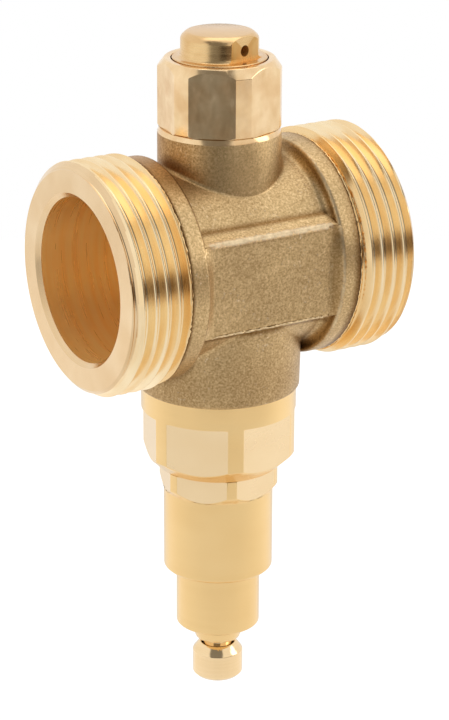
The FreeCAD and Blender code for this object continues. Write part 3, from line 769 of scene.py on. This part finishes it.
def threadedPort(name):
    s = portSizes
    cut, castEnd = bodySizes["cut"], bodySizes["castEnd"]
    height = s["crestR"] - s["rootR"]
    first = cut - s["turnsBefore"] * s["pitch"]
    moves = [((u1 - u0) * s["pitch"], 0, (v1 - v0) * height)
             for (u0, v0), (u1, v1) in zip(toothShape, toothShape[1:])]
    piece = drawnLine(name, (first, 0, s["rootR"]), moves)
    bpy.ops.object.mode_set(mode="OBJECT")
    screw = piece.modifiers.new("screw", "SCREW")
    screw.axis = "X"
    screw.screw_offset = s["pitch"]
    screw.iterations = s["turns"]
    screw.steps = screw.render_steps = s["steps"]
    screw.use_merge_vertices = True
    screw.merge_threshold = weld
    makeActive(piece)
    bpy.ops.object.modifier_apply(modifier="screw")
    editAll(piece)
    bpy.ops.mesh.remove_doubles(threshold=weld)
    bpy.ops.mesh.bisect(plane_co=(cut, 0, 0), plane_no=(1, 0, 0), clear_inner=True, threshold=cutGap)
    bpy.ops.mesh.select_all(action="SELECT")
    bpy.ops.mesh.bisect(plane_co=(s["end"], 0, 0), plane_no=(1, 0, 0), clear_outer=True, threshold=cutGap)
    bpy.ops.object.mode_set(mode="OBJECT")
    # the lead-in cone trims the first crests, the run-out the last ones
    for v in piece.data.vertices:
        lead = (v.co.x - (s["end"] - s["leadIn"])) / s["leadIn"]
        out = 1 - (v.co.x - cut) / s["runOut"]
        limit = s["crestR"] - max(lead * (s["crestR"] - s["leadR"]), out * height, 0)
        if math.hypot(v.co.y, v.co.z) > limit:
            setRadius(v, v.co.x, limit)
    bpy.ops.object.mode_set(mode="EDIT")
    bpy.ops.mesh.select_mode(type="EDGE")
    # end face, chamfer and bore, down to the cut
    selectLoopAt(piece, s["end"])
    bpy.ops.mesh.remove_doubles(threshold=s["endWeld"])
    selectLoopAt(piece, s["end"])
    growRing(piece, s["end"], s["boreR"] + s["chamfer"])
    growRing(piece, s["end"] - s["chamfer"], s["boreR"])
    growRing(piece, castEnd, s["boreR"])
    growRing(piece, castEnd, s["sleeveR"])
    growRing(piece, cut, s["sleeveR"])
    selectLoopAt(piece, cut)
    bpy.ops.mesh.bridge_edge_loops()
    bpy.ops.mesh.select_all(action="SELECT")
    bpy.ops.mesh.remove_doubles(threshold=fineWeld)
    turnOutward()
    bodyFinish(piece)
    smoothByAngle(piece, s["smooth"])
    return piece


valveBody = castingBody()
portRight = threadedPort("portRight")
portLeft = threadedPort("portLeft")
portLeft.data.transform(Matrix.Rotation(math.pi, 4, "Z"))
details = padEnds()
for side in (1, -1):
    details += [shoulderEdge(side * math.pi / 2), flashLine(side), threadBurr(side)]
clearSelection()
for piece in (portLeft, portRight, *details, valveBody):
    piece.select_set(True)
bpy.context.view_layer.objects.active = valveBody
bpy.ops.object.join()
place(valveBody, "valve", "cast_brass", "valve_body")
print("valve body:", len(valveBody.data.polygons), "faces")


# turned pieces that show: CAD copies with broken edges
turnedSizes = {
    "segments": 2,              # of a broken edge
    "smooth": 35,
    "merged": 0.3,              # degrees under which neighbouring faces become one
    "upright": 0.001,           # a milled flat's normal rises less than this
    "flatArea": 12 * mm * mm,   # and its area is larger than this
    "edgeAngle": 16,
    "outletEdge": 0.10 * mm,
    "knobEdge": 0.12 * mm,
}


def breakEdges(piece, width, angle):
    bevel = piece.modifiers.new("brokenEdges", "BEVEL")
    bevel.width = width
    bevel.segments = turnedSizes["segments"]
    bevel.limit_method = "ANGLE"
    bevel.angle_limit = math.radians(angle)
    bevel.use_clamp_overlap = False
    makeActive(piece)
    bpy.ops.object.modifier_apply(modifier="brokenEdges")


def flattenShading(piece):
    smoothByAngle(piece, turnedSizes["smooth"])
    weighted = piece.modifiers.new("flatFaces", "WEIGHTED_NORMAL")
    weighted.mode = "FACE_AREA"
    weighted.weight = 100
    weighted.keep_sharp = True
    bpy.ops.object.modifier_apply(modifier="flatFaces")


def turnedPiece(nodeName, pieceName, body, material, width, flats=None):
    s = turnedSizes
    piece = copyOfNode(nodeName, pieceName)
    editAll(piece)
    bpy.ops.mesh.dissolve_limited(angle_limit=math.radians(s["merged"]))
    bpy.ops.object.mode_set(mode="OBJECT")
    breakEdges(piece, width, s["edgeAngle"])
    piece.data.materials.append(material)
    if flats:
        piece.data.materials.append(flats)
        for face in piece.data.polygons:
            isFlat = abs(face.normal.z) < s["upright"] and face.area > s["flatArea"]
            face.material_index = 1 if isFlat else 0
    flattenShading(piece)
    return place(piece, body, "turned_brass", nodeName)


outletEdge, knobEdge = turnedSizes["outletEdge"], turnedSizes["knobEdge"]
turnedPiece("cartridge_housing", "cartridgeHousing", "valve", lowerMetal, outletEdge, millMetal)
turnedPiece("drain_nozzle", "drainNozzle", "valve", lowerMetal, outletEdge, millMetal)
turnedPiece("drain_knob", "drainKnob", "drain", knobMetal, knobEdge)
print("outlet pieces done")

# hexagon bonnet: turned, then cut to six flats
bonnetSizes = {
    "profile": [(8.3, 17.4), (8.3, 24.0), (10.65, 24.0), (10.95, 24.3), (10.95, 34.75), (9.75, 36.35),
                (8.6, 36.35), (8.6, 35.05), (7.05, 35.05), (7.05, 34.0), (6.05, 34.0), (6.05, 30.6),
                (2.6, 30.6), (2.6, 26.8), (6.6, 26.8), (6.6, 19.1), (7.1, 19.1), (7.1, 18.3),
                (6.6, 18.3), (6.6, 17.4), (8.3, 17.4)],
    "flat": 10.15 * mm,
    "middle": 30.0 * mm,
    "turn": math.radians(-9.0),
    "flats": 6,
    "block": 40 * mm,           # size of the block that cuts a flat
    "edge": 0.12 * mm,
    "edgeAngle": 18,
    "steps": 144,
}


def ventBonnet():
    s = bonnetSizes
    piece = spun("ventBonnet", s["profile"], s["steps"])
    away = s["flat"] + s["block"] / 2
    for index in range(s["flats"]):
        turn = s["turn"] + index * 2 * math.pi / s["flats"]
        middle = (away * math.cos(turn), away * math.sin(turn), s["middle"])
        bpy.ops.mesh.primitive_cube_add(size=s["block"], location=middle, rotation=(0, 0, turn))
        cutAway(piece, bpy.context.object)
    breakEdges(piece, s["edge"], s["edgeAngle"])
    piece.data.materials.append(hexMetal)
    flattenShading(piece)
    return place(piece, "valve", "turned_brass", "vent_bonnet")


ventBonnet()
print("bonnet done")

# vented plug: turned, then milled flat on two sides and cross-drilled
plugSizes = {
    "profile": [(0, 38.35), (1.6, 38.35), (1.6, 31.2), (5.95, 31.2), (5.95, 35.05), (8.4, 35.05),
                (8.4, 36.4), (8.25, 36.55), (7.6, 36.55), (7.25, 36.65), (7.0, 36.9), (6.9, 37.25),
                (6.9, 39.7), (6.84, 40.02), (6.66, 40.3), (6.2, 40.74), (5.92, 40.94), (5.5, 41.045),
                (0, 41.045)],
    "flat": 6.0 * mm,
    "flatFoot": 36.57 * mm,
    "turn": math.radians(-75.0),
    "holeR": 1.0 * mm,
    "holeZ": 38.35 * mm,
    "holeSides": 48,
    "block": 20 * mm,
    "edge": 0.14 * mm,
    "edgeLength": 1.5 * mm,     # only upright edges longer than this are broken
    "steps": 120,
    "smooth": 30,
}


def ventPlug():
    s = plugSizes
    piece = spun("ventPlug", s["profile"], s["steps"])
    facing = Vector((math.cos(s["turn"]), math.sin(s["turn"]), 0))
    block = s["block"]
    for side in (1, -1):
        middle = facing * side * (s["flat"] + block / 2) + Vector((0, 0, s["flatFoot"] + block / 2))
        bpy.ops.mesh.primitive_cube_add(size=block, location=middle, rotation=(0, 0, s["turn"]))
        cutAway(piece, bpy.context.object)
    bpy.ops.mesh.primitive_cylinder_add(vertices=s["holeSides"], radius=s["holeR"], depth=block,
                                        location=(0, 0, s["holeZ"]), rotation=(0, math.pi / 2, s["turn"]))
    cutAway(piece, bpy.context.object)
    # upright edges of the flats
    makeActive(piece)
    bpy.ops.object.mode_set(mode="EDIT")
    bpy.ops.mesh.select_mode(type="EDGE")
    bpy.ops.mesh.select_all(action="DESELECT")
    bpy.ops.object.mode_set(mode="OBJECT")
    verts = piece.data.vertices
    for edge in piece.data.edges:
        a, b = (verts[i].co for i in edge.vertices)
        onFlat = all(abs(abs(p.dot(facing)) - s["flat"]) < weld for p in (a, b))
        upright = abs(a.z - b.z) > s["edgeLength"] and (a.xy - b.xy).length < slack / 2
        edge.select = onFlat and upright
    bpy.ops.object.mode_set(mode="EDIT")
    bpy.ops.mesh.bevel(offset=s["edge"], segments=turnedSizes["segments"])
    bpy.ops.object.mode_set(mode="OBJECT")
    for material in (plugMetal, boreMetal, faceMetal):
        piece.data.materials.append(material)
    across = facing.cross(Vector((0, 0, 1)))
    for face in piece.data.polygons:
        c = face.center
        # the cross hole takes the bore finish, and its painted shade towards the top darkens the whole
        # hole
        inHole = math.hypot(c.dot(across), c.z - s["holeZ"]) < s["holeR"] + slack / 2
        onTop = face.normal.z > 0.5
        face.material_index = 1 if inHole else 2 if onTop else 0
    smoothByAngle(piece, s["smooth"])
    return place(piece, "valve", "turned_brass", "vent_plug")


ventPlug()
print("plug done")

# pieces that stay as the CAD made them
finishOfSlot = {
    "cast_brass": cast,
    "turned_brass": innerMetal,
    "steel": steel,
    "rubber": rubber,
    "wax": wax,
}
for row in frame["record"]["subparts"]:
    node = frame["nodes"][row["node"]]
    node.data.materials.clear()
    node.data.materials.append(finishOfSlot[row["material_slot"]])
frame["nodes"]["drain_stem"].data.materials[0] = knobMetal
print("inner pieces dressed")

# the two springs, copied as the CAD made them: the breaker's spring rides on the valve, the drain's
# spring keeps its place
springSizes = {
    "ventStroke": 2.0 * mm,
    "smooth": 50,
}


def spring(nodeName, pieceName):
    piece = copyOfNode(nodeName, pieceName)
    piece.data.materials.append(finishOfSlot["steel"])
    smoothByAngle(piece, springSizes["smooth"])
    heights = [vertex.co.z for vertex in piece.data.vertices]
    return piece, min(heights), max(heights)


def springs():
    pressed, low, high = spring("vent_spring", "breakerSpring")
    place(pressed, "valve", "steel", "vent_spring")
    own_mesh(pressed)
    letOut, low, high = spring("return_spring", "drainSpring")
    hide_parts("return_spring")
    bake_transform(letOut)


springs()
print("springs done")

# floor, world, lamps and camera
studio = {
    "front": (-0.5237, -0.8519, 0.0),     # level direction from the valve to the camera
    "right": (0.8519, -0.5237, 0.0),
    "bright": 1.0,
    "dim": 0.25,
    "gapMiddle": 0.08,                    # the gap lies this far to the left of the camera
    "gapEdge": (0.34, 0.52),
    "gapFront": (0.0, 0.25),
    "under": 0.10,
    "underColour": (1.0, 0.62, 0.32),
    "underMiddle": 0.02,                  # the room lies this far under the level
    "underEdge": (0.10, 0.24),
    "underSide": (-0.10, 0.15),
}
floorSizes = {
    "z": -100.0 * mm,
    "radius": 340.0 * mm,
    "sides": 128,
    "grain": 30.0,
    "grainStops": (0.3, 0.7),
    "darker": (0.50, 0.50, 0.50),
    "lighter": (0.53, 0.53, 0.53),
    "roughness": 0.9,
    "glowToCamera": 0.62,
    "glowInFront": 0.41,
    "glowBehind": 0.60,
    "glowFade": (-40 * mm, 90 * mm),    # from behind the valve to the front of it
    "rimShade": 0.50,
    "rimFade": (-1.0, -0.72),           # straight behind the valve, and to its sides
}


def paleFloor():
    s = floorSizes
    clearSelection()
    bpy.ops.mesh.primitive_circle_add(vertices=s["sides"], radius=s["radius"], fill_type="NGON")
    floor = bpy.context.object
    floor.name = "floor"
    floor.data.transform(Matrix.Translation((0, 0, s["z"])))
    material, tree, shader, coords = startMaterial("paleFloor")
    grain = noise(tree, coords, s["grain"], 2.0)
    paper = ramp(tree, grain, list(zip(s["grainStops"], (s["darker"], s["lighter"]))))
    tree.links.new(paper, shader.inputs["Base Color"])
    shader.inputs["Roughness"].default_value = s["roughness"]
    shader.inputs["Specular IOR Level"].default_value = 0.0
    # the sheet is brighter behind the valve, apart from straight behind it, where the tubes' rims look
    towards = measured(tree, coords, "DOT_PRODUCT", studio["front"])
    glow = spread(tree, towards, s["glowBehind"], s["glowInFront"], *s["glowFade"])
    level = measured(tree, stretched(tree, coords, (1.0, 1.0, 0.0)), "NORMALIZE")
    behind = measured(tree, level, "DOT_PRODUCT", studio["front"])
    glow = times(tree, glow, spread(tree, behind, s["rimShade"], 1.0, *s["rimFade"]))
    pick = tree.nodes.new("ShaderNodeMix")
    tree.links.new(tree.nodes.new("ShaderNodeLightPath").outputs["Is Camera Ray"], pick.inputs[0])
    tree.links.new(glow, pick.inputs[2])
    pick.inputs[3].default_value = s["glowToCamera"]
    shader.inputs["Emission Color"].default_value = (*white, 1.0)
    tree.links.new(pick.outputs[0], shader.inputs["Emission Strength"])
    floor.data.materials.append(material)


def studioWorld():
    s = studio
    world = bpy.data.worlds.new("studio")
    bpy.context.scene.world = world
    world.use_nodes = True
    tree = world.node_tree
    background = tree.nodes["Background"]
    coords = tree.nodes.new("ShaderNodeTexCoord").outputs["Generated"]

    def along(direction):
        node = tree.nodes.new("ShaderNodeVectorMath")
        node.operation = "DOT_PRODUCT"
        tree.links.new(coords, node.inputs[0])
        node.inputs[1].default_value = direction
        return node.outputs["Value"]

    def soft(value, reach, low, high):
        node = tree.nodes.new("ShaderNodeMapRange")
        node.interpolation_type = "SMOOTHSTEP"
        for name, number in zip(("From Min", "From Max", "To Min", "To Max"), (*reach, low, high)):
            node.inputs[name].default_value = number
        tree.links.new(value, node.inputs["Value"])
        return node.outputs["Result"]

    def maths(operation, a, b=None):
        node = tree.nodes.new("ShaderNodeMath")
        node.operation = operation
        for socket, value in zip(node.inputs, (a, b)):
            if value is None:
                continue
            if isinstance(value, float):
                socket.default_value = value
            else:
                tree.links.new(value, socket)
        return node.outputs[0]

    front, right, up = along(s["front"]), along(s["right"]), along((0, 0, 1))
    # the gap between the two softboxes, where the camera stands
    gap = soft(maths("ABSOLUTE", maths("ADD", right, s["gapMiddle"])), s["gapEdge"], 1.0, 0.0)
    gap = maths("MULTIPLY", gap, soft(front, s["gapFront"], 0.0, 1.0))
    # the room under the right softbox
    under = soft(maths("ABSOLUTE", maths("ADD", up, s["underMiddle"])), s["underEdge"], 1.0, 0.0)
    under = maths("MULTIPLY", under, soft(right, s["underSide"], 0.0, 1.0))
    under = maths("MULTIPLY", under, soft(front, s["underSide"], 0.0, 1.0))
    level = maths("MULTIPLY", soft(gap, (0.0, 1.0), s["bright"], s["dim"]),
                  soft(under, (0.0, 1.0), 1.0, s["under"]))
    isCamera = tree.nodes.new("ShaderNodeLightPath").outputs["Is Camera Ray"]
    strength = maths("MAXIMUM", level, isCamera)
    under = maths("MULTIPLY", under, maths("SUBTRACT", 1.0, isCamera))
    tint = ramp(tree, under, [(0.0, white), (1.0, s["underColour"])])
    tree.links.new(tint, background.inputs["Color"])
    tree.links.new(strength, background.inputs["Strength"])


lampSizes = {
    "top": {"from": (120, 60, 620), "size": 600, "watts": 0.8},
    "right": {"from": (520, -330, 200), "size": 300, "watts": 0.5},
}


def softbox(name, s):
    data = bpy.data.lights.new(name, "AREA")
    data.shape = "SQUARE"
    data.size = s["size"] * mm
    data.energy = s["watts"]
    lamp = bpy.data.objects.new(name, data)
    bpy.context.scene.collection.objects.link(lamp)
    lamp.location = Vector(s["from"]) * mm
    lamp.rotation_euler = (Vector((0, 0, 0)) - lamp.location).to_track_quat("-Z", "Y").to_euler()


cameraSizes = {
    "place": (-237.43, -388.23, 143.07),
    "aim": (-0.75, -3.27, -18.77),
    "roll": 0.24,
    "lens": 132.94,
    "sensor": 36.0,
    "near": 10 * mm,
}


def photoCamera():
    s = cameraSizes
    data = bpy.data.cameras.new("camera")
    camera = bpy.data.objects.new("camera", data)
    bpy.context.scene.collection.objects.link(camera)
    data.sensor_width = s["sensor"]
    data.lens = s["lens"]
    data.clip_start = s["near"]
    camera.location = Vector(s["place"]) * mm
    aim = (Vector(s["aim"]) - Vector(s["place"])).to_track_quat("-Z", "Y")
    camera.rotation_euler = (aim @ Quaternion((0, 0, 1), math.radians(s["roll"]))).to_euler()
    bpy.context.scene.camera = camera


paleFloor()
studioWorld()
for lampName, lampSetting in lampSizes.items():
    softbox(lampName, lampSetting)
photoCamera()
bpy.context.scene.view_settings.view_transform = "Standard"
print("stage, lamps and camera set")
